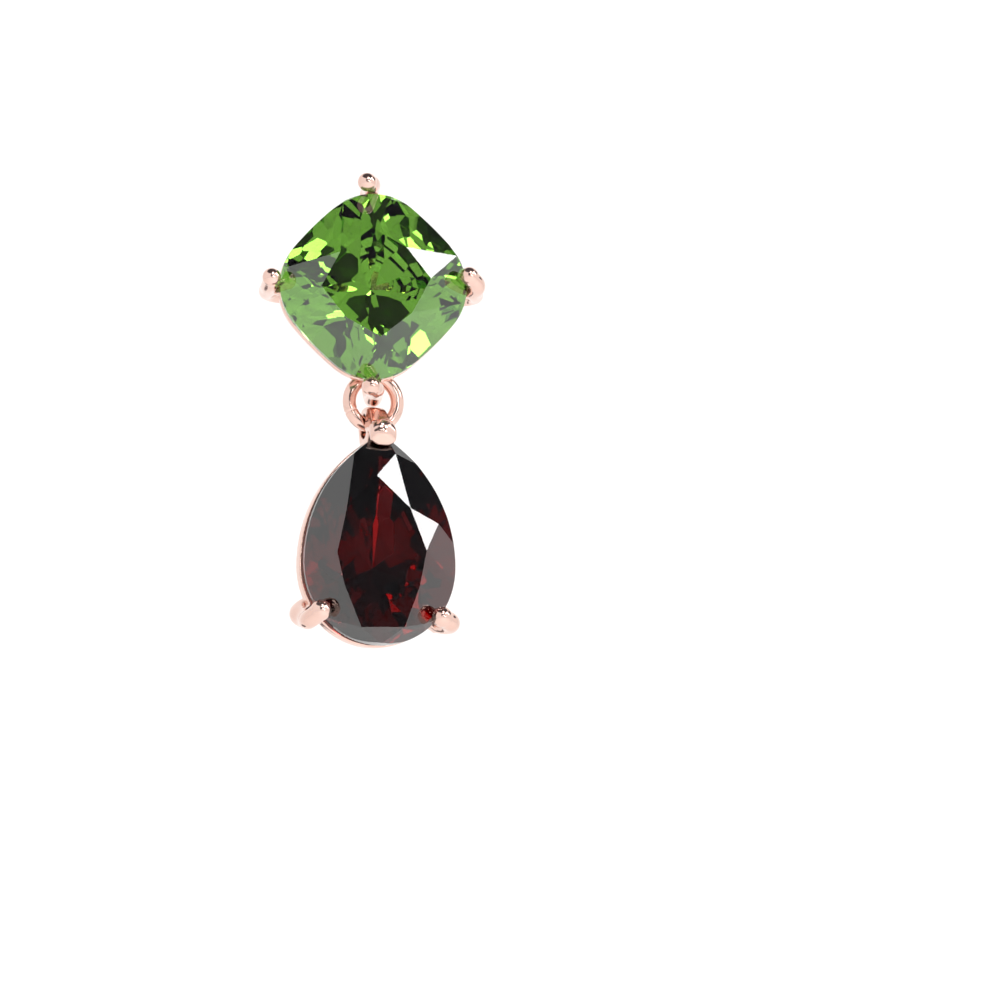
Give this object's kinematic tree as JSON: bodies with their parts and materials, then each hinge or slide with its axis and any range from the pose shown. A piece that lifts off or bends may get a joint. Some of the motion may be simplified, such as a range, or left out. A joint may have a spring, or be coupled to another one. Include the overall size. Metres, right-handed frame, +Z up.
{
  "type": "drop earring",
  "caption": "Drop earring: a claw-set cushion-cut stud on an ear post, with a claw-set pear-cut drop hanging from a jump ring.",
  "frame": {"origin": "centre of the ear post where it leaves the flat back of the stud, against the ear lobe", "axes": "+Z up towards the stud's highest claw, -Y the way the stones look, +Y along the ear post to its tip, +X to the wearer's left"},
  "size_m": [0.0107, 0.0158, 0.0223],
  "materials": {
    "rose_gold_plate": "polished",
    "green_stone": "polished",
    "red_stone": "polished"
  },
  "bodies": {
    "stud": {"cushion_setting": "rose_gold_plate", "cushion_stone": "green_stone"},
    "ring": {"jump_ring": "rose_gold_plate"},
    "drop": {"drop_setting": "rose_gold_plate", "pear_stone": "red_stone"}
  },
  "joints": [
    {"name": "ring_swing", "type": "hinge", "parent": "stud", "child": "ring", "pos_m": [0.0002, -0.0027, -0.00525], "axis": [-0.1736, 0.9848, 0], "range_deg": [-30, 30]},
    {"name": "drop_swing", "type": "hinge", "parent": "ring", "child": "drop", "pos_m": [0.0002, -0.0027, -0.00643], "axis": [0.9848, 0.1736, 0], "range_deg": [-30, 45]}
  ]
}
